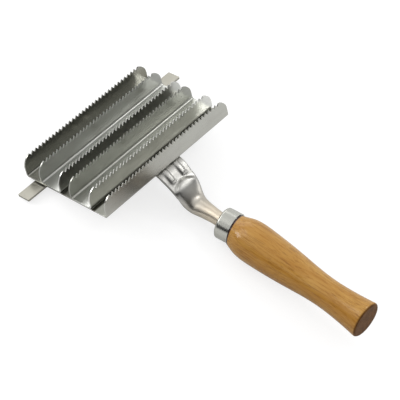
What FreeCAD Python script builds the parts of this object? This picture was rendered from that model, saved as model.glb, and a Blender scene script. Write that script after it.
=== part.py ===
# Metal curry comb: six toothed walls folded from three steel sheets, a knocker strip across the back,
# a stamped bracket, and a turned wooden handle behind a steel ferrule.  All lengths are in millimetres.
#
# The tool is modelled in the plane of its base plate: X runs along the toothed walls, Y points away from
# the handle, Z is the side of the teeth, and the plate's underside is at Z = 0 with its far wall at Y = 0.
# At the end the whole tool is laid down as it lies on a table, on its strip and on the ferrule's rim.
import FreeCAD, Part
import math
import os

from FreeCAD import Vector

# ---- toothed walls ----
SHEET = 0.9                 # thickness of the folded sheets
COMB_LENGTH = 118.6         # along the walls
COMB_WIDTH = 77.6           # over the two outer walls
WALL_TOP = 16.3             # tooth tips of all six walls, above the underside of the base plate
TOOTH_PITCH = 3.2
TOOTH_INSET = 6.5           # from the end of a wall to its first tooth tip, about
TOOTH_SPACES = round((COMB_LENGTH - 2 * TOOTH_INSET) / TOOTH_PITCH)
TOOTH_DEPTH = 2.5
CORNER_ROUND = 9.3          # round at the upper corners of every wall
PLATE_BEND = 1.2            # inner bend radius of the base plate
CHANNEL_BEND = 1.9          # inner bend radius of the channels
CHANNEL_WIDTH = 19.8        # over its two walls
FREE_WIDTH = COMB_WIDTH - 2 * SHEET - 2 * CHANNEL_WIDTH
SIDE_GAP = 0.373 * FREE_WIDTH   # from an outer wall to the channel next to it
FAR_CHANNEL_Y = -SHEET - SIDE_GAP   # outer face of its far wall
NEAR_CHANNEL_Y = FAR_CHANNEL_Y - CHANNEL_WIDTH - (FREE_WIDTH - 2 * SIDE_GAP)

# ---- bracket ----
BRACKET_SHEET = 1.5
BRACKET_HALF_WIDTH = 11.3
BRACKET_MIDDLE_X = 0.5      # it is riveted on a little to one side
BRACKET_FAR_END = -3.5
BRACKET_CORNER = 3.0
BEND_START = -69.0          # Y where the bracket leaves the base plate
FIRST_BEND_RADIUS = 18.0
SLOPE = 43.5                # degrees, of the ribbed part
SLOPE_RUN = 9.0
CREST_RADIUS = 8.0
STEEP = 63.0                # degrees, of the bulge behind the crest
NECK_BEND_RADIUS = 9.5
RIB_OFFSET = 5.3            # of each rib from the middle
RIB_HALF_WIDTH = 2.8
RIB_FLANK = 1.7             # width of each of its sloping flanks
RIB_HEIGHT = 0.8
RIB_START = 5.0             # distances along the bracket's path
RIB_END = 18.6
RIB_RUNOUT = 2.4
TOE_START = 18.2            # tip of the raised toe where the bulge begins
TOE_SPREAD = 0.051          # how fast its U-shaped outline opens
TOE_RISE = 1.7
TOE_RUN = 2.6
TOE_HALF_WIDTH = 11.5
NECK_RADIUS = 4.8           # outside of the half-round neck
NECK_INSIDE = 0.3           # how far its side flanges go into the ferrule
PRONG_RADIUS = NECK_RADIUS - 0.1    # half tube that goes on inside the wood
PRONG_SHEET = BRACKET_SHEET - 0.2
PRONG_END = 46.0            # its end, from the ferrule's front

# ---- knocker strip ----
STRIP_LENGTH = 148.8
STRIP_WIDTH = 10.5
STRIP_THICKNESS = 1.5
STRIP_CORNER = 0.5
STRIP_MIDDLE_Y = -0.1495 * COMB_WIDTH

# ---- rivets ----
SHANK_RADIUS = 1.6
HEAD_RADIUS = 2.7
HEAD_HEIGHT = 1.1
TAIL_RADIUS = 2.5
TAIL_HEIGHT = 0.9
CHANNEL_RIVET_X = 46.0
STRIP_RIVET_X = 6.0
STRIP_RIVET_Y = -SHEET - 0.7 * SIDE_GAP

# ---- handle ----
AXIS_PITCH = 12.9           # degrees below the base plate
FERRULE_FRONT_Y = -118.0
FERRULE_FRONT_Z = -29.1
FERRULE_OFFSET = 0.35       # front of the ferrule, from that point, along the handle's axis
FERRULE_DROP = 1.3          # it sits this much low on the wood
FERRULE_SKEW = 7.5          # and this many degrees crooked
FERRULE_LENGTH = 10.5
FERRULE_RADIUS = 11.0
FERRULE_WALL = 0.8
FERRULE_EDGE = 1.6          # rounding of its front edge
SHOULDER_GAP = 1.1          # between its rear rim and the shoulder of the wood
RELIEF = 1.4                # depth of the relief groove turned in the tenon there
RELIEF_LENGTH = 1.8
FIT = 0.05                  # play between the wood and the metal in and around it
HANDLE_END = 120.5          # from the ferrule's front
BUTT_RADIUS = 12.5
BUTT_EDGE = 1.6
# Turned profile: distance from the ferrule's front, radius.
SHOULDER = (6.0, FERRULE_RADIUS - 0.6)
NECKING = (12.0, FERRULE_RADIUS - 0.2)
FRONT_SWELL = (19.0, 13.0)
BELLY = (34.0, 13.95)
MIDDLE = (60.0, 12.2)
WAIST = (86.0, 10.1)
FLARE = (106.0, 11.0)


def extrude_outline(edges, direction):
    """Solid between a closed outline and its copy moved by direction."""
    return Part.Face(Part.Wire(edges)).extrude(direction)


def line(start, end):
    return Part.LineSegment(start, end).toShape()


def arc(start, middle, end):
    return Part.Arc(start, middle, end).toShape()


def rounded_corners(left, right, near, far, radius, z):
    """Outline of a rectangle with rounded corners, at a height."""
    cut = radius * (1 - math.sin(math.pi / 4))
    edges = []
    corners = [(left, near, 1, 1), (left, far, 1, -1), (right, far, -1, -1), (right, near, -1, 1)]
    ends = []
    for k, (x, y, inx, iny) in enumerate(corners):
        along_x = Vector(x + inx * radius, y, z)
        along_y = Vector(x, y + iny * radius, z)
        start, end = (along_x, along_y) if k % 2 == 0 else (along_y, along_x)
        edges.append(arc(start, Vector(x + inx * cut, y + iny * cut, z), end))
        ends.append((start, end))
    for k in range(4):
        edges.insert(2 * k + 1, line(ends[k][1], ends[(k + 1) % 4][0]))
    return edges


def cylinder(radius, height, base, direction=Vector(0, 0, 1)):
    return Part.makeCylinder(radius, height, base, direction)


# ---------------------------------------------------------------------------------------------------
# Folded, toothed sheets


def folded_profile(far_y, near_y, floor_z, top_z, bend):
    """Cross-section of a sheet folded up along both edges, as a face in the YZ plane at one end."""
    x = -COMB_LENGTH / 2
    outer = bend + SHEET
    half_turn = math.sin(math.pi / 4)

    def corner(y, inward, radius, z):
        """Bend at a lower corner: y is the wall's face, inward points to the other wall."""
        low = Vector(x, y + inward * radius, z)
        middle = Vector(x, y + inward * radius * (1 - half_turn), z + radius * (1 - half_turn))
        high = Vector(x, y, z + radius)
        return low, middle, high

    inner_z = floor_z + SHEET
    far_out = corner(far_y, -1, outer, floor_z)
    near_out = corner(near_y, 1, outer, floor_z)
    far_in = corner(far_y - SHEET, -1, bend, inner_z)
    near_in = corner(near_y + SHEET, 1, bend, inner_z)
    far_top = Vector(x, far_y, top_z)
    far_top_in = Vector(x, far_y - SHEET, top_z)
    near_top = Vector(x, near_y, top_z)
    near_top_in = Vector(x, near_y + SHEET, top_z)
    return [
        arc(*far_out),
        line(far_out[2], far_top),
        line(far_top, far_top_in),
        line(far_top_in, far_in[2]),
        arc(*reversed(far_in)),
        line(far_in[0], near_in[0]),
        arc(*near_in),
        line(near_in[2], near_top_in),
        line(near_top_in, near_top),
        line(near_top, near_out[2]),
        arc(*reversed(near_out)),
        line(near_out[0], far_out[0]),
    ]


def wall_outline(floor_z, top_z):
    """Side view of a toothed wall: rounded upper corners and a row of V-shaped notches between them."""
    half = COMB_LENGTH / 2
    centre_x = half - CORNER_ROUND
    centre_z = top_z - CORNER_ROUND
    first_x = TOOTH_SPACES * TOOTH_PITCH / 2
    lift = math.acos((first_x - centre_x) / CORNER_ROUND)
    y = 1.0

    def on_round(side, angle):
        return Vector(
            side * (centre_x + CORNER_ROUND * math.cos(angle)), y, centre_z + CORNER_ROUND * math.sin(angle)
        )

    low_left = Vector(-half, y, floor_z - 1)
    low_right = Vector(half, y, floor_z - 1)
    edges = [
        line(low_left, on_round(-1, 0)),
        arc(on_round(-1, 0), on_round(-1, lift / 2), on_round(-1, lift)),
    ]
    point = on_round(-1, lift)
    for space in range(TOOTH_SPACES):
        valley = Vector(-first_x + (space + 0.5) * TOOTH_PITCH, y, top_z - TOOTH_DEPTH)
        tip = Vector(-first_x + (space + 1) * TOOTH_PITCH, y, top_z)
        if space == TOOTH_SPACES - 1:
            tip = on_round(1, lift)
        edges += [line(point, valley), line(valley, tip)]
        point = tip
    edges += [
        arc(on_round(1, lift), on_round(1, lift / 2), on_round(1, 0)),
        line(on_round(1, 0), low_right),
        line(low_right, low_left),
    ]
    return edges


def toothed_sheet(far_y, near_y, floor_z, bend):
    """A sheet with both long edges folded up, its walls cut to the toothed outline."""
    profile = folded_profile(far_y, near_y, floor_z, WALL_TOP, bend)
    folded = extrude_outline(profile, Vector(COMB_LENGTH, 0, 0))
    outline = extrude_outline(wall_outline(floor_z, WALL_TOP), Vector(0, -COMB_WIDTH - 2, 0))
    return folded.common(outline)


# ---------------------------------------------------------------------------------------------------
# Handle axis and bracket path


def axis_direction():
    pitch = math.radians(AXIS_PITCH)
    return Vector(0, -math.cos(pitch), -math.sin(pitch))


def axis_point(distance):
    """Point on the handle's axis, measured from the ferrule's front."""
    return Vector(0, FERRULE_FRONT_Y, FERRULE_FRONT_Z) + axis_direction() * distance


def turn(point, angle, next_angle, radius):
    """End of an arc in the YZ plane that turns a downward slope from one angle to another."""
    sense = 1 if next_angle > angle else -1
    a, b = math.radians(angle), math.radians(next_angle)
    across = radius * sense * (math.sin(b) - math.sin(a))
    down = radius * sense * (math.cos(a) - math.cos(b))
    return Vector(0, point.y - across, point.z - down)


def run(point, angle, length):
    """End of a straight run at a downward slope."""
    a = math.radians(angle)
    return Vector(0, point.y - length * math.cos(a), point.z - length * math.sin(a))


def steep_length():
    """Length of the steep run that brings the neck onto the handle's axis."""
    start = run(turn(Vector(0, BEND_START, 0), 0, SLOPE, FIRST_BEND_RADIUS), SLOPE, SLOPE_RUN)
    crest = turn(start, SLOPE, STEEP, CREST_RADIUS)
    landed = turn(crest, STEEP, AXIS_PITCH, NECK_BEND_RADIUS)
    normal = Vector(0, -math.sin(math.radians(AXIS_PITCH)), math.cos(math.radians(AXIS_PITCH)))
    height = (landed - axis_point(0)).dot(normal)
    return height / math.sin(math.radians(STEEP - AXIS_PITCH))


# Segments of the bracket's path from where it leaves the base plate: slope before and after, and radius
# of a bend or length of a straight run.
PATH = [
    ("bend", 0.0, SLOPE, FIRST_BEND_RADIUS),
    ("run", SLOPE, SLOPE, SLOPE_RUN),
    ("bend", SLOPE, STEEP, CREST_RADIUS),
    ("run", STEEP, STEEP, steep_length()),
    ("bend", STEEP, AXIS_PITCH, NECK_BEND_RADIUS),
    ("run", AXIS_PITCH, AXIS_PITCH, 100.0),
]


def segment_length(segment):
    kind, before, after, size = segment
    if kind == "run":
        return size
    return size * math.radians(abs(after - before))


def on_path(distance):
    """Point and upward normal of the bracket's path at a distance along it."""
    point = Vector(0, BEND_START, 0)
    for segment in PATH:
        kind, before, after, size = segment
        share = min(distance / segment_length(segment), 1.0)
        angle = before + (after - before) * share
        if kind == "run":
            point = run(point, before, size * share)
        elif share > 0:
            point = turn(point, before, angle, size)
        distance -= segment_length(segment)
        if distance <= 0:
            break
    a = math.radians(angle)
    return point, Vector(0, -math.sin(a), math.cos(a))


def bend_length():
    """Length of the path down to where it meets the handle's axis."""
    return sum(segment_length(segment) for segment in PATH[:-1])


# Shape of the bracket along its path: distance, half width, rise of the arch, half angle of the arch,
# length of the straight flanges below the arch, X of its middle.
SHAPE = [
    (0.0, BRACKET_HALF_WIDTH, 0.0, 20.0, 0.0, BRACKET_MIDDLE_X),
    (12.0, BRACKET_HALF_WIDTH, 0.0, 24.0, 0.0, BRACKET_MIDDLE_X),
    (17.0, 10.85, 0.0, 28.0, 0.0, BRACKET_MIDDLE_X),
    (22.0, 10.7, 0.2, 35.0, 0.0, 0.45),
    (26.0, 10.5, 0.9, 50.0, 0.0, 0.25),
    (30.0, 10.05, 2.0, 65.0, 0.0, 0.0),
    (34.0, 9.25, 3.3, 76.0, 0.2, -0.2),
    (38.0, 8.1, 4.2, 84.0, 0.9, -0.3),
    (42.0, 6.9, 4.6, 88.0, 1.9, -0.3),
    (46.0, 5.95, 4.7, 90.0, 2.4, -0.15),
    (50.0, 5.4, 4.75, 90.0, 2.4, 0.0),
    (54.0, 5.0, NECK_RADIUS, 90.0, 2.1, 0.0),
    (58.0, NECK_RADIUS, NECK_RADIUS, 90.0, 1.8, 0.0),
    (64.0, NECK_RADIUS, NECK_RADIUS, 90.0, 1.6, 0.0),
]
ROW_SPACING = 1.05
HALF_COLUMNS = 22


def shape_at(distance):
    """What the shape's stations hold, at a distance along the path, smoothly between them."""
    last = len(SHAPE) - 1
    k = min(max(i for i in range(last) if SHAPE[i][0] <= distance or i == 0), last - 1)
    before, after = SHAPE[k], SHAPE[k + 1]
    span = after[0] - before[0]
    t = min((distance - before[0]) / span, 1.0)

    def steepness(station, value):
        low, high = SHAPE[max(station - 1, 0)], SHAPE[min(station + 1, last)]
        return (high[value] - low[value]) / (high[0] - low[0])

    result = []
    for value in range(1, len(before)):
        m0, m1 = steepness(k, value) * span, steepness(k + 1, value) * span
        a, b = before[value], after[value]
        if a == b:
            m0 = m1 = 0.0
        result.append(
            a + t * m0 + t * t * (3 * (b - a) - 2 * m0 - m1) + t * t * t * (2 * (a - b) + m0 + m1)
        )
    return result


def smooth_step(share):
    share = min(max(share, 0.0), 1.0)
    return share * share * (3 - 2 * share)


def pressed_height(distance, x):
    """Height of the ribs and of the toe of the bulge above the bracket's plain arch."""
    ends = min((distance - RIB_START) / RIB_RUNOUT, (RIB_END - distance) / RIB_RUNOUT)
    flanks = (RIB_HALF_WIDTH - abs(abs(x) - RIB_OFFSET)) / RIB_FLANK
    ribs = RIB_HEIGHT * smooth_step(ends) * smooth_step(flanks)
    edge = TOE_START + TOE_SPREAD * x * x
    inward = (distance - edge) / math.hypot(1.0, 2 * TOE_SPREAD * x)
    fading = smooth_step((TOE_HALF_WIDTH - abs(x)) / 4.0) * (1 - smooth_step((distance - 26.0) / 16.0))
    return ribs + TOE_RISE * smooth_step(inward / TOE_RUN) * fading


def arch_point(distance, across):
    """Point of the plain arch, across running from -1 to 1 between the bracket's edges."""
    point, normal = on_path(distance)
    half_width, rise, opening, flange, middle = shape_at(distance)
    full = math.radians(opening)
    length = half_width * full / math.sin(full)
    reach = abs(across) * (length + flange)
    angle = full * min(reach / length, 1.0)
    x = half_width * math.sin(angle) / math.sin(full)
    height = rise * (math.cos(angle) - math.cos(full)) / (1 - math.cos(full))
    if reach > length:
        out = half_width * math.cos(full) / math.sin(full)
        down = -rise * math.sin(full) / (1 - math.cos(full))
        x += (reach - length) * out / math.hypot(out, down)
        height += (reach - length) * down / math.hypot(out, down)
    return point + Vector(middle + math.copysign(x, across), 0, 0) + normal * height, normal


def bracket_points(distance, across):
    """Points of the upper and lower face of the bracket."""
    step = 1e-5
    here, normal = arch_point(distance, across)
    sideways = arch_point(distance, across + step)[0] - arch_point(distance, across - step)[0]
    onward = arch_point(distance + step, across)[0] - here
    thickness = onward.cross(sideways)
    thickness.normalize()
    here = here + normal * pressed_height(distance, here.x - BRACKET_MIDDLE_X)
    return here, here - thickness * BRACKET_SHEET


def bracket_blank():
    """Flat part of the bracket, under the base plate, with rounded far corners."""
    width, left = 2 * BRACKET_HALF_WIDTH, BRACKET_MIDDLE_X - BRACKET_HALF_WIDTH
    low = -BRACKET_SHEET
    outline = rounded_corners(left, left + width, BEND_START, BRACKET_FAR_END, BRACKET_CORNER, low)
    far_end = extrude_outline(outline, Vector(0, 0, BRACKET_SHEET))
    square = Part.makeBox(width, 2 * BRACKET_CORNER, BRACKET_SHEET, Vector(left, BEND_START, low))
    return far_end.fuse(square).removeSplitter()


def half_tube(start_distance, end_distance):
    """Half-round prong of the bracket inside the ferrule and the wood."""
    start = axis_point(start_distance)
    side = Vector(1, 0, 0)
    up = axis_direction().cross(side)
    inner = PRONG_RADIUS - PRONG_SHEET
    edges = [
        arc(start - side * PRONG_RADIUS, start + up * PRONG_RADIUS, start + side * PRONG_RADIUS),
        line(start + side * PRONG_RADIUS, start + side * inner),
        arc(start + side * inner, start + up * inner, start - side * inner),
        line(start - side * inner, start - side * PRONG_RADIUS),
    ]
    return extrude_outline(edges, axis_direction() * (end_distance - start_distance))


def pressed_sheet():
    """Bent, ribbed and bulging part of the bracket, from the plate to inside the ferrule."""
    end = bend_length() + (axis_point(NECK_INSIDE) - on_path(bend_length())[0]).Length
    rows = round(end / ROW_SPACING)
    columns = 2 * HALF_COLUMNS
    upper, lower = [], []
    for i in range(rows + 1):
        pairs = [bracket_points(end * i / rows, 2 * j / columns - 1) for j in range(columns + 1)]
        upper.append([pair[0] for pair in pairs])
        lower.append([pair[1] for pair in pairs])
    top, bottom = Part.BSplineSurface(), Part.BSplineSurface()
    top.interpolate(upper)
    bottom.interpolate(lower)
    faces = [top.toShape(), bottom.toShape()]
    u0, u1, v0, v1 = top.bounds()
    w0, w1, x0, x1 = bottom.bounds()
    rims = [
        (top.uIso(u0), bottom.uIso(w0)),
        (top.uIso(u1), bottom.uIso(w1)),
        (top.vIso(v0), bottom.vIso(x0)),
        (top.vIso(v1), bottom.vIso(x1)),
    ]
    for high, low in rims:
        strip = Part.makeLoft([Part.Wire(high.toShape()), Part.Wire(low.toShape())], False, True)
        faces += strip.Faces
    shell = Part.Shell(faces)
    shell.sewShape()
    solid = Part.Solid(shell)
    if solid.Volume < 0:
        solid.reverse()
    return solid


def bracket():
    """Stamped bracket: flat under the plate, ribbed, then bulging and closing to a half-round neck."""
    return pressed_sheet().fuse([bracket_blank(), half_tube(NECK_INSIDE - 4.0, PRONG_END)])


# ---------------------------------------------------------------------------------------------------
# Rivets


def rivet(x, y, low_z, high_z):
    """Round-headed rivet through a stack of sheets, its upset tail underneath."""

    def at(radius, z):
        return Vector(x + radius, y, z)

    def dome(radius, z, height):
        """Middle point of a shallow round end, between its rim and its top."""
        full = (radius * radius + height * height) / (2 * abs(height))
        half_angle = math.asin(radius / full) / 2
        drop = full * (1 - math.cos(half_angle))
        return at(full * math.sin(half_angle), z + height - math.copysign(drop, height))

    edges = [
        arc(at(0, low_z - TAIL_HEIGHT), dome(TAIL_RADIUS, low_z, -TAIL_HEIGHT), at(TAIL_RADIUS, low_z)),
        line(at(TAIL_RADIUS, low_z), at(SHANK_RADIUS, low_z)),
        line(at(SHANK_RADIUS, low_z), at(SHANK_RADIUS, high_z)),
        line(at(SHANK_RADIUS, high_z), at(HEAD_RADIUS, high_z)),
        arc(at(HEAD_RADIUS, high_z), dome(HEAD_RADIUS, high_z, HEAD_HEIGHT), at(0, high_z + HEAD_HEIGHT)),
        line(at(0, high_z + HEAD_HEIGHT), at(0, low_z - TAIL_HEIGHT)),
    ]
    return Part.Face(Part.Wire(edges)).revolve(Vector(x, y, 0), Vector(0, 0, 1), 360)


def channel_middles():
    """Y of the middle of each channel's floor."""
    return (FAR_CHANNEL_Y - CHANNEL_WIDTH / 2, NEAR_CHANNEL_Y - CHANNEL_WIDTH / 2)


def channel_rivet_places():
    return [(x, y) for y in channel_middles() for x in (-CHANNEL_RIVET_X, CHANNEL_RIVET_X)]


def bracket_rivet_places():
    return [(0.0, y) for y in channel_middles()]


def strip_rivet_places():
    return [(-STRIP_RIVET_X, STRIP_RIVET_Y), (STRIP_RIVET_X, STRIP_RIVET_Y)]


def drilled(sheet, places):
    """The sheet with a rivet hole at each place."""
    depth = 4 * WALL_TOP
    holes = [cylinder(SHANK_RADIUS, depth, Vector(x, y, -depth / 2)) for x, y in places]
    return sheet.cut(holes)


def rivet_group(places, low_z, high_z):
    return Part.makeCompound([rivet(x, y, low_z, high_z) for x, y in places])


# ---------------------------------------------------------------------------------------------------
# Sheets with their holes


def base_plate():
    places = channel_rivet_places() + bracket_rivet_places() + strip_rivet_places()
    return drilled(toothed_sheet(0.0, -COMB_WIDTH, 0.0, PLATE_BEND), places)


def channel(far_y):
    places = channel_rivet_places() + bracket_rivet_places()
    return drilled(toothed_sheet(far_y, far_y - CHANNEL_WIDTH, SHEET, CHANNEL_BEND), places)


def knocker_strip():
    half, low = STRIP_LENGTH / 2, -BRACKET_SHEET - STRIP_THICKNESS
    near, far = STRIP_MIDDLE_Y - STRIP_WIDTH / 2, STRIP_MIDDLE_Y + STRIP_WIDTH / 2
    outline = rounded_corners(-half, half, near, far, STRIP_CORNER, low)
    return drilled(extrude_outline(outline, Vector(0, 0, STRIP_THICKNESS)), strip_rivet_places())


# ---------------------------------------------------------------------------------------------------
# Ferrule and handle, turned about the handle's axis


def turned(profile_edges):
    """Solid of revolution about the handle's axis, from edges drawn in (distance, radius)."""
    return Part.Face(Part.Wire(profile_edges)).revolve(axis_point(0), axis_direction(), 360)


def on_profile(distance, radius):
    return axis_point(distance) + Vector(radius, 0, 0)


def edge_round(distance, radius, size, end):
    """Quarter round at a rim: from the flank to the end face when end is 1, the other way when -1."""
    bulge = size * (1 - math.sin(math.pi / 4))
    flank = on_profile(distance - end * size, radius)
    middle = on_profile(distance - end * bulge, radius - bulge)
    face = on_profile(distance, radius - size)
    if end > 0:
        return arc(flank, middle, face)
    return arc(face, middle, flank)


def ferrule_frame(shape):
    """Move a shape turned about the handle's axis to where the ferrule sits, low and a little crooked."""
    up = axis_direction().cross(Vector(1, 0, 0))
    shape.rotate(axis_point(0), up, FERRULE_SKEW)
    shape.translate(axis_direction() * FERRULE_OFFSET - up * FERRULE_DROP)
    return shape


def ferrule():
    """Steel ring, its front edge rolled in over the end of the wood."""
    lip = FERRULE_WALL
    lip_inner = FERRULE_RADIUS - FERRULE_EDGE - lip
    tenon = FERRULE_RADIUS - FERRULE_WALL
    ring = turned(
        [
            line(on_profile(0, lip_inner), on_profile(0, FERRULE_RADIUS - FERRULE_EDGE)),
            edge_round(0, FERRULE_RADIUS, FERRULE_EDGE, -1),
            line(on_profile(FERRULE_EDGE, FERRULE_RADIUS), on_profile(FERRULE_LENGTH, FERRULE_RADIUS)),
            line(on_profile(FERRULE_LENGTH, FERRULE_RADIUS), on_profile(FERRULE_LENGTH, tenon)),
            line(on_profile(FERRULE_LENGTH, tenon), on_profile(lip, tenon)),
            line(on_profile(lip, tenon), on_profile(lip, lip_inner)),
            line(on_profile(lip, lip_inner), on_profile(0, lip_inner)),
        ]
    )
    return ferrule_frame(ring)


def handle_profile():
    """Turned outline of the wood from the ferrule to the butt, as a smooth curve."""
    curve = Part.BSplineCurve()
    butt = (HANDLE_END - BUTT_EDGE, BUTT_RADIUS)
    stations = [SHOULDER, NECKING, FRONT_SWELL, BELLY, MIDDLE, WAIST, FLARE, butt]
    curve.interpolate([on_profile(distance, radius) for distance, radius in stations])
    return curve


def handle():
    """Wooden handle: turned body, tenon filling the ferrule, bore for the bracket's prong."""
    body = turned(
        [
            line(axis_point(SHOULDER[0]), on_profile(*SHOULDER)),
            handle_profile().toShape(),
            edge_round(HANDLE_END, BUTT_RADIUS, BUTT_EDGE, 1),
            line(on_profile(HANDLE_END, BUTT_RADIUS - BUTT_EDGE), axis_point(HANDLE_END)),
            line(axis_point(HANDLE_END), axis_point(SHOULDER[0])),
        ]
    )
    forward = axis_direction()
    shoulder, start = FERRULE_LENGTH + SHOULDER_GAP, FERRULE_WALL + FIT
    front = ferrule_frame(cylinder(2 * FERRULE_RADIUS, shoulder + 20, axis_point(-20), forward))
    tenon = cylinder(FERRULE_RADIUS - FERRULE_WALL - FIT, shoulder - start, axis_point(start), forward)
    root = axis_point(shoulder - RELIEF_LENGTH)
    relief = cylinder(2 * FERRULE_RADIUS, RELIEF_LENGTH, root, forward)
    relief = relief.cut(cylinder(FERRULE_RADIUS - FERRULE_WALL - FIT - RELIEF, RELIEF_LENGTH, root, forward))
    bore = cylinder(PRONG_RADIUS + FIT, PRONG_END + 5, axis_point(-5), forward)
    return body.cut(front).fuse(ferrule_frame(tenon.cut(relief))).cut(bore)


# ---------------------------------------------------------------------------------------------------
# The tool as it lies on a table


def hanging_points():
    """Points along the underside of the ferrule and of the wood."""
    points = [vertex.Point for vertex in ferrule().Vertexes]
    for edge in ferrule().Edges:
        points += edge.discretize(60)
    curve = handle_profile()
    down = Vector(1, 0, 0).cross(axis_direction())
    samples = 400
    for i in range(samples + 1):
        share = i / samples
        on_curve = curve.value(curve.FirstParameter + share * (curve.LastParameter - curve.FirstParameter))
        distance = (on_curve - axis_point(0)).dot(axis_direction())
        points.append(axis_point(distance) + down * on_curve.x)
    return points


def resting_tilt():
    """Angle that brings the strip's far lower edge and the lowest point of the handle onto one level."""
    strip_y = STRIP_MIDDLE_Y + STRIP_WIDTH / 2
    strip_z = -BRACKET_SHEET - STRIP_THICKNESS
    return max(math.degrees(math.atan2(strip_z - p.z, strip_y - p.y)) for p in hanging_points())


def laid_down(parts):
    """All parts tilted onto the table, the origin under the middle of the tool."""
    tilt = resting_tilt()
    for shape in parts.values():
        shape.rotate(Vector(0, 0, 0), Vector(1, 0, 0), -tilt)
    box = Part.makeCompound(list(parts.values())).optimalBoundingBox(False, False)
    shift = Vector(-(box.XMin + box.XMax) / 2, -(box.YMin + box.YMax) / 2, -box.ZMin)
    for shape in parts.values():
        shape.translate(shift)
    print("tilt", tilt, "shift", shift, "size", box.XLength, box.YLength, box.ZLength)


def main():
    floor_top = 2 * SHEET
    parts = {
        "base_plate": base_plate(),
        "channel_far": channel(FAR_CHANNEL_Y),
        "channel_near": channel(NEAR_CHANNEL_Y),
        "knocker_strip": knocker_strip(),
        "bracket": drilled(bracket(), bracket_rivet_places() + strip_rivet_places()),
        "ferrule": ferrule(),
        "handle": handle(),
        "channel_rivets": rivet_group(channel_rivet_places(), 0.0, floor_top),
        "bracket_rivets": rivet_group(bracket_rivet_places(), -BRACKET_SHEET, floor_top),
        "strip_rivets": rivet_group(strip_rivet_places(), -BRACKET_SHEET - STRIP_THICKNESS, SHEET),
    }
    laid_down(parts)
    os.makedirs("parts", exist_ok=True)
    for name, shape in parts.items():
        print(name, shape.isValid(), len(shape.Solids), "solids", len(shape.Faces), "faces")
        shape.exportStep("parts/" + name + ".step")


if __name__ == "__main__":
    main()
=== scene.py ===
# Six-row metal curry comb with a wooden handle, lying teeth up on a pale table.
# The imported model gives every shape; this script adds materials, light, the table and the camera.
import math

import bpy
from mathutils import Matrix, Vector


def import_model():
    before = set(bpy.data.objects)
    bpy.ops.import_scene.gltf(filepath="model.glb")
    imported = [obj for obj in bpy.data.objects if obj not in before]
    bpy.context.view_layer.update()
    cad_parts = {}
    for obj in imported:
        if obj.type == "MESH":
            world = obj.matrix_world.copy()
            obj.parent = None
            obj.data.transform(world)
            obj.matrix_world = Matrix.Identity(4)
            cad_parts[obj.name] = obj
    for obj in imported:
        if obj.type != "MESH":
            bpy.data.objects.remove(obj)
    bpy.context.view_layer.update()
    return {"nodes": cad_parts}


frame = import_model()

# ---- where things are, for the materials: metres, and degrees for the tilts ----
ORIGIN = (0, 0, 0)
PLATE_TILT = 19.168                        # of the comb as it lies, about X
HANDLE_TILT = 6.268                        # of the handle as it lies, about X
HANDLE_START = (0.0, -0.0027, 0.0121)
BUTT_EDGE, BUTT_FACE = -0.1192, -0.1201    # along the handle, where its end grain begins and is full
FERRULE_AXIS = (0.1305, -0.9914, 0.0)      # in the handle's frame: the ferrule sits a little crooked
JOINT_START, JOINT_END = 0.0126, 0.0132    # along that axis, the dark joint fades out between these

# Depths across the levelled comb. Its near wall is at 0.034 and its far wall at 0.1115.
# Floor spans deep in the seams, darkened with painted shade; the fade is how far that shade blends
# out.
NEAR_GAP = (0.0462, 0.0484)                # floor at the foot of the near channel's near wall
MIDDLE_GAP = (0.0682, 0.0773)              # floor between the two channels
SEAM_SHADE_FADE = 0.0008

# ---- camera: fitted to the photograph ----
CAMERA_PLACE = (-0.50594, -0.342071, 0.903241)
CAMERA_TURN = (0.875463, 0.256739, -0.155783, -0.378656)
CAMERA_LENS = 147.69
SENSOR = 36.0


class Nodes:
    """Small helper that builds a node tree and places its nodes in a row."""

    SPACING = 220

    def __init__(self, tree):
        self.tree = tree
        self.count = 0

    def add(self, kind, inputs=None, **settings):
        node = self.tree.nodes.new("ShaderNode" + kind)
        node.location = (self.SPACING * self.count, 0)
        self.count += 1
        for name, value in settings.items():
            setattr(node, name, value)
        for name, value in (inputs or {}).items():
            self.feed(node.inputs[name], value)
        return node

    def feed(self, socket, value):
        """Link a socket to another, or set it to a plain value."""
        if isinstance(value, bpy.types.NodeSocket):
            self.tree.links.new(value, socket)
        else:
            socket.default_value = value

    def math(self, operation, a, b):
        return self.add("Math", {0: a, 1: b}, operation=operation).outputs[0]

    def spread(self, value, low, high, to_low, to_high, smooth=True):
        """Value mapped from one range to another, held at its ends."""
        node = self.add(
            "MapRange",
            {
                "Value": value,
                "From Min": low,
                "From Max": high,
                "To Min": to_low,
                "To Max": to_high,
            },
            interpolation_type="SMOOTHSTEP" if smooth else "LINEAR",
        )
        return node.outputs["Result"]

    def mix(self, share, a, b):
        """Colour a with a share of b; 6, 7 and 2 are the node's colour sockets."""
        node = self.add("Mix", data_type="RGBA")
        self.feed(node.inputs[0], share)
        self.feed(node.inputs[6], a)
        self.feed(node.inputs[7], b)
        return node.outputs[2]

    def noise(self, vector, scale, detail, roughness=0.5, distortion=0.0):
        node = self.add(
            "TexNoise",
            {
                "Vector": vector,
                "Scale": scale,
                "Detail": detail,
                "Roughness": roughness,
                "Distortion": distortion,
            },
        )
        return node.outputs["Fac"]

    def placed(self, start, tilt, stretch):
        """Object coordinates from a start point, turned level about X by the tilt, then stretched."""
        place = self.add("TexCoord").outputs["Object"]
        moved = self.add("VectorMath", {0: place, 1: Vector(start)}, operation="SUBTRACT").outputs[0]
        level = self.add(
            "VectorRotate", {"Vector": moved, "Angle": math.radians(tilt)}, rotation_type="X_AXIS"
        ).outputs[0]
        return self.add("VectorMath", {0: level, 1: Vector(stretch)}, operation="MULTIPLY").outputs[0]


def new_material(name):
    material = bpy.data.materials.new(name)
    material.use_nodes = True
    material.node_tree.nodes.clear()
    return material, Nodes(material.node_tree)


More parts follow.
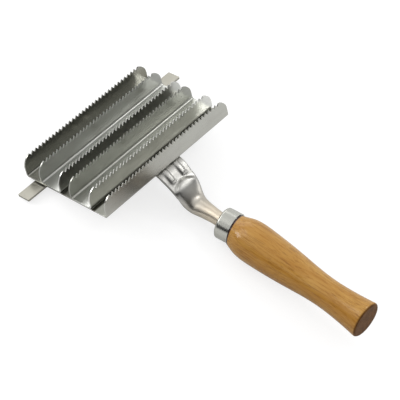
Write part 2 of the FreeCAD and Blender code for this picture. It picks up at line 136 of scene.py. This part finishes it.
def rgb(r, g, b):
    """Linear colour of an 8-bit sRGB one."""

    def linear(v):
        v /= 255
        return v / 12.92 if v <= 0.04045 else ((v + 0.055) / 1.055) ** 2.4

    return (linear(r), linear(g), linear(b), 1.0)


# ---- materials ----
WHITE = (1.0, 1.0, 1.0, 1.0)
EVENLY = (1, 1, 1)
NOISE_LOW, NOISE_HIGH = 0.35, 0.65               # most values of a noise lie between these

ALONG_X, ALONG_Y = (0.06, 1, 1), (1, 0.3, 1)     # how the steel's streaks are drawn out
WEAR, WEAR_SHARE = rgb(120, 118, 108), 0.12
# Colour of the painted shade in the floors' seams.
SEAM_SHADE = rgb(84, 82, 74)
MOTTLE_SHARE, STREAK_SHARE = 0.65, 0.35          # of the wear
ROUGHNESS_SPREAD = 0.015
WAVE_HEIGHT = 0.0006
BEVEL_SAMPLES = 16


def steel(name, near, far, across, rough, seam_shade=(), edge=0.00018, dents=0.04, polish=ALONG_X):
    """Plated sheet steel: mottling, streaks, soft edges, and a tone from the near to the far side
    that is painted light and shade.

    across: depths at which the tone is near and far; the seams: (from, to, share) of each floor span
    darkened by painted shade; edge: radius to which shading softens the edges; dents: strength of the
    sheet's slow waves.
    """
    material, n = new_material(name)
    even = n.placed(ORIGIN, PLATE_TILT, EVENLY)
    along = n.placed(ORIGIN, PLATE_TILT, polish)
    depth = n.add("SeparateXYZ", {0: even}).outputs[1]
    mottle = n.noise(even, scale=60, detail=2, roughness=0.55)
    streaks = n.noise(along, scale=700, detail=2, roughness=0.6)
    mottled = n.math("MULTIPLY", mottle, MOTTLE_SHARE)
    tone = n.math("ADD", mottled, n.math("MULTIPLY", streaks, STREAK_SHARE))
    # Painted light and shade: the tone changes with depth from the near to the far colour.
    painted_light_tone = n.mix(n.spread(depth, *across, 0, 1, smooth=False), near, far)
    colour = n.mix(n.spread(tone, NOISE_LOW, NOISE_HIGH, WEAR_SHARE, 0), painted_light_tone, WEAR)
    # Painted shade: each listed floor span, deep in a seam between walls, is darkened.
    for low, high, share in seam_shade:
        rises = n.spread(depth, low - SEAM_SHADE_FADE, low, 0, share)
        inside = n.math("MULTIPLY", rises, n.spread(depth, high, high + SEAM_SHADE_FADE, 1, 0))
        colour = n.mix(inside, colour, SEAM_SHADE)
    roughness = n.spread(mottle, 0.3, 0.7, rough + ROUGHNESS_SPREAD, rough - ROUGHNESS_SPREAD)
    waves = n.noise(even, scale=35, detail=1, roughness=0.4)
    bumpy = n.add("Bump", {"Strength": dents, "Distance": WAVE_HEIGHT, "Height": waves})
    soft = n.add("Bevel", {"Radius": edge, "Normal": bumpy.outputs[0]}, samples=BEVEL_SAMPLES)
    shader = n.add(
        "BsdfPrincipled",
        {
            "Base Color": colour,
            "Metallic": 1.0,
            "Roughness": roughness,
            "Normal": soft.outputs[0],
        },
    )
    n.add("OutputMaterial", {0: shader.outputs[0]})
    return material


def varnished_wood(name):
    """Turned hardwood under clear varnish: grain along the handle, darker end grain at the butt."""
    material, n = new_material(name)

    def on_handle(along, up=1):
        return n.placed(HANDLE_START, HANDLE_TILT, (1, along, up))

    even, grain, pores, bands = on_handle(1), on_handle(0.05), on_handle(0.03), on_handle(0.09)
    tone = n.noise(bands, scale=170, detail=4, roughness=0.6, distortion=0.5)
    fibre = n.noise(grain, scale=1100, detail=5, roughness=0.75, distortion=0.3)
    cloud = n.noise(even, scale=22, detail=2)
    light = n.mix(n.spread(cloud, NOISE_LOW, NOISE_HIGH, 0, 1), rgb(171, 125, 55), rgb(183, 140, 73))
    deep = n.mix(n.spread(tone, 0.42, 0.68, 0, 0.55), light, rgb(157, 107, 38))
    fibred = n.mix(n.spread(fibre, 0.46, 0.62, 0, 0.5), deep, rgb(138, 88, 24))
    speck = n.noise(pores, scale=1500, detail=2)
    sides = n.mix(n.spread(speck, 0.57, 0.66, 0, 0.35), fibred, rgb(98, 56, 12))

    axial = n.add("SeparateXYZ", {0: even}).outputs[1]
    rings = n.noise(on_handle(0, up=0.35), scale=500, detail=3, roughness=0.6, distortion=0.8)
    end_pores = n.noise(on_handle(0), scale=1800, detail=2, roughness=0.6)
    end_tone = n.mix(n.spread(rings, NOISE_LOW, NOISE_HIGH, 0, 1), rgb(84, 53, 22), rgb(106, 71, 34))
    end_grain = n.mix(n.spread(end_pores, 0.5, 0.7, 0, 0.6), end_tone, rgb(58, 34, 16))
    turned = n.mix(n.spread(axial, BUTT_EDGE, BUTT_FACE, 0, 1), sides, end_grain)

    from_front = n.add("VectorMath", {0: even, 1: Vector(FERRULE_AXIS)}, operation="DOT_PRODUCT")
    in_joint = n.spread(from_front.outputs["Value"], JOINT_START, JOINT_END, 1, 0)
    colour = n.mix(in_joint, turned, rgb(50, 22, 12))

    relief = n.add("Bump", {"Strength": 0.15, "Distance": 0.0001, "Height": fibre}).outputs[0]
    wavy = n.add("Bump", {"Strength": 0.1, "Distance": 0.0008, "Height": cloud, "Normal": relief})
    shader = n.add(
        "BsdfPrincipled",
        {
            "Base Color": colour,
            "Roughness": n.spread(fibre, 0.4, 0.7, 0.42, 0.55),
            "Specular IOR Level": 0.06,
            "Coat Weight": n.spread(axial, BUTT_EDGE, BUTT_FACE, 0.5, 0.0),
            "Coat Roughness": 0.17,
            "Normal": wavy.outputs[0],
        },
    )
    n.add("OutputMaterial", {0: shader.outputs[0]})
    return material


def dress(node, material):
    mesh = frame["nodes"][node].data
    mesh.materials.clear()
    mesh.materials.append(material)


# Near wall lighter, far wall darker: painted light and shade.
plate = steel(
    "plate_steel",
    near=rgb(180, 180, 174),
    far=rgb(161, 161, 155),
    across=(0.034, 0.1),
    rough=0.25,
    # painted shade in the two seam floors
    seam_shade=[(*NEAR_GAP, 0.9), (*MIDDLE_GAP, 0.3)],
)
# The nearer wall lighter than the farther one: painted light and shade.
far_steel = steel(
    "far_channel_steel",
    near=rgb(199, 200, 196),
    far=rgb(161, 162, 158),
    across=(0.078, 0.096),
    rough=0.3,
)
# The nearer wall lighter than the farther one: painted light and shade.
near_steel = steel(
    "near_channel_steel",
    near=rgb(215, 216, 212),
    far=rgb(153, 154, 148),
    across=(0.049, 0.067),
    rough=0.3,
)
strip = steel(
    "strip_steel",
    near=rgb(148, 146, 137),
    far=rgb(142, 140, 131),
    across=(0.095, 0.105),
    rough=0.38,
    dents=0.08,
)
# Warmer and lighter towards the neck: a painted warm reflection.
stamped = steel(
    "bracket_steel",
    near=rgb(212, 200, 181),
    far=rgb(174, 173, 169),
    across=(0.0, 0.02),
    rough=0.35,
    edge=0.0012,
    dents=0.02,
    polish=ALONG_Y,
)
ring = steel(
    "ferrule_steel",
    near=rgb(188, 188, 181),
    far=rgb(184, 184, 177),
    across=(-0.01, 0),
    rough=0.22,
    dents=0.02,
    polish=ALONG_Y,
)
rivets = steel(
    "rivet_steel",
    near=rgb(170, 170, 162),
    far=rgb(160, 160, 151),
    across=(0, 0.1),
    rough=0.35,
)
wood = varnished_wood("varnished_wood")

dress("base_plate", plate)
dress("channel_far", far_steel)
dress("channel_near", near_steel)
for node in ("channel_rivets", "bracket_rivets", "strip_rivets"):
    dress(node, rivets)
dress("knocker_strip", strip)
dress("bracket", stamped)
dress("ferrule", ring)
dress("handle", wood)

# ---- table ----
TABLE_HALF = 4.0
TABLE_DROP = 0.00005                       # keeps its face just clear of the comb's lowest points
PAPER_DARK, PAPER_LIGHT = (0.76, 0.76, 0.755, 1), (0.80, 0.80, 0.795, 1)
PAPER_TO_COMB = (0.3, 0.3, 0.3, 1)         # seen by diffuse rays, so that it throws less light up
PAPER_TO_CAMERA = (0.36, 0.36, 0.36, 1)    # carries the comb's shadow; the glow does the rest
GLOW_TO_CAMERA, GLOW_MIRRORED = 0.7, 0.06


def seen_directly(n, camera, mirrored):
    """Strength of the plain background by ray: camera rays, and rays that metal or glass reflects."""
    path = n.add("LightPath")
    other = n.math("MAXIMUM", path.outputs["Is Glossy Ray"], path.outputs["Is Transmission Ray"])
    direct = n.math("MULTIPLY", path.outputs["Is Camera Ray"], camera)
    return n.math("ADD", direct, n.math("MULTIPLY", other, mirrored))


def panel(name, half_wide, half_high, material):
    """Flat rectangle about its own origin, facing along Z."""
    mesh = bpy.data.meshes.new(name)
    w, h = half_wide, half_high
    mesh.from_pydata([(-w, -h, 0), (w, -h, 0), (w, h, 0), (-w, h, 0)], [], [(0, 1, 2, 3)])
    mesh.materials.append(material)
    return bpy.data.objects.new(name, mesh)


def table():
    material, n = new_material("table_paper")
    paper = n.noise(n.placed(ORIGIN, 0, EVENLY), scale=40, detail=3)
    tint = n.mix(paper, PAPER_DARK, PAPER_LIGHT)
    path = n.add("LightPath")
    tint = n.mix(path.outputs["Is Diffuse Ray"], tint, PAPER_TO_COMB)
    tint = n.mix(path.outputs["Is Camera Ray"], tint, PAPER_TO_CAMERA)
    lit = n.add("BsdfDiffuse", {"Color": tint})
    strength = seen_directly(n, GLOW_TO_CAMERA, GLOW_MIRRORED)
    glow = n.add("Emission", {"Color": WHITE, "Strength": strength})
    both = n.add("AddShader", {0: lit.outputs[0], 1: glow.outputs[0]})
    n.add("OutputMaterial", {0: both.outputs[0]})
    obj = panel("table", TABLE_HALF, TABLE_HALF, material)
    bpy.context.scene.collection.objects.link(obj)
    obj.location.z = -TABLE_DROP


# ---- light ----
AMBIENT = 0.8                              # strength of the world on matt surfaces
LAMP_DISTANCE, CARD_DISTANCE = 1.2, 1.3


def world():
    """Even light from all round. The camera, metal and glass see it as plain white."""
    made = bpy.data.worlds.new("studio")
    made.use_nodes = True
    made.node_tree.nodes.clear()
    n = Nodes(made.node_tree)
    path = n.add("LightPath")
    shown = n.math("MAXIMUM", path.outputs["Is Camera Ray"], path.outputs["Is Glossy Ray"])
    shown = n.math("MAXIMUM", shown, path.outputs["Is Transmission Ray"])
    strength = n.spread(shown, 0, 1, AMBIENT, 1.0, smooth=False)
    back = n.add("Background", {"Color": WHITE, "Strength": strength})
    n.add("OutputWorld", {0: back.outputs[0]})
    bpy.context.scene.world = made


def aimed(obj, azimuth, elevation, distance):
    """Place a lamp or card by its direction from the comb, in degrees, facing the comb."""
    a, e = math.radians(azimuth), math.radians(elevation)
    away = Vector((math.cos(a) * math.cos(e), math.sin(a) * math.cos(e), math.sin(e)))
    bpy.context.scene.collection.objects.link(obj)
    obj.location = away * distance
    obj.rotation_mode = "QUATERNION"
    obj.rotation_quaternion = (-away).to_track_quat("-Z", "Y")


def spans(distance, wide, high):
    """Size of a flat panel at a distance that covers these angles, in degrees."""
    return [2 * distance * math.tan(math.radians(angle / 2)) for angle in (wide, high)]


def card(name, azimuth, elevation, wide, high, strength):
    """Dark studio card: only shiny surfaces show it."""
    material, n = new_material(name)
    glow = n.add("Emission", {"Color": WHITE, "Strength": strength})
    n.add("OutputMaterial", {0: glow.outputs[0]})
    w, h = spans(CARD_DISTANCE, wide, high)
    obj = panel(name, w / 2, h / 2, material)
    aimed(obj, azimuth, elevation, CARD_DISTANCE)
    obj.visible_camera = obj.visible_diffuse = obj.visible_shadow = False


def lamp(name, azimuth, elevation, wide, high, brightness, distance=LAMP_DISTANCE):
    """Soft box of a given brightness, where white paper in the scene has about 1."""
    data = bpy.data.lights.new(name, "AREA")
    data.shape = "RECTANGLE"
    data.size, data.size_y = spans(distance, wide, high)
    data.energy = brightness * math.pi * data.size * data.size_y
    aimed(bpy.data.objects.new(name, data), azimuth, elevation, distance)


table()
world()
# Each lamp and card: its direction, the angles it covers (all in degrees), and how bright it is.
lamp("softbox_back", azimuth=60, elevation=26, wide=40, high=24, brightness=1.7)
lamp("softbox_left", azimuth=108, elevation=46, wide=30, high=20, brightness=2.4)
lamp("softbox_right", azimuth=343, elevation=53, wide=12, high=12, brightness=9.0, distance=0.53)
lamp("strip_light", azimuth=310, elevation=12, wide=60, high=16, brightness=1.8)
lamp("window", azimuth=123, elevation=25, wide=20, high=15, brightness=9.0)
card("card_camera_side", azimuth=225, elevation=48, wide=84, high=50, strength=0.03)
card("card_front", azimuth=304, elevation=36, wide=62, high=24, strength=0.05)
card("card_left", azimuth=160, elevation=15, wide=70, high=24, strength=0.03)

# ---- camera ----
lens = bpy.data.cameras.new("camera")
lens.lens = CAMERA_LENS
lens.sensor_width = SENSOR
lens.clip_start, lens.clip_end = 0.05, 20
camera = bpy.data.objects.new("camera", lens)
bpy.context.scene.collection.objects.link(camera)
camera.location = CAMERA_PLACE
camera.rotation_mode = "QUATERNION"
camera.rotation_quaternion = CAMERA_TURN
bpy.context.scene.camera = camera
bpy.context.scene.view_settings.view_transform = "Standard"
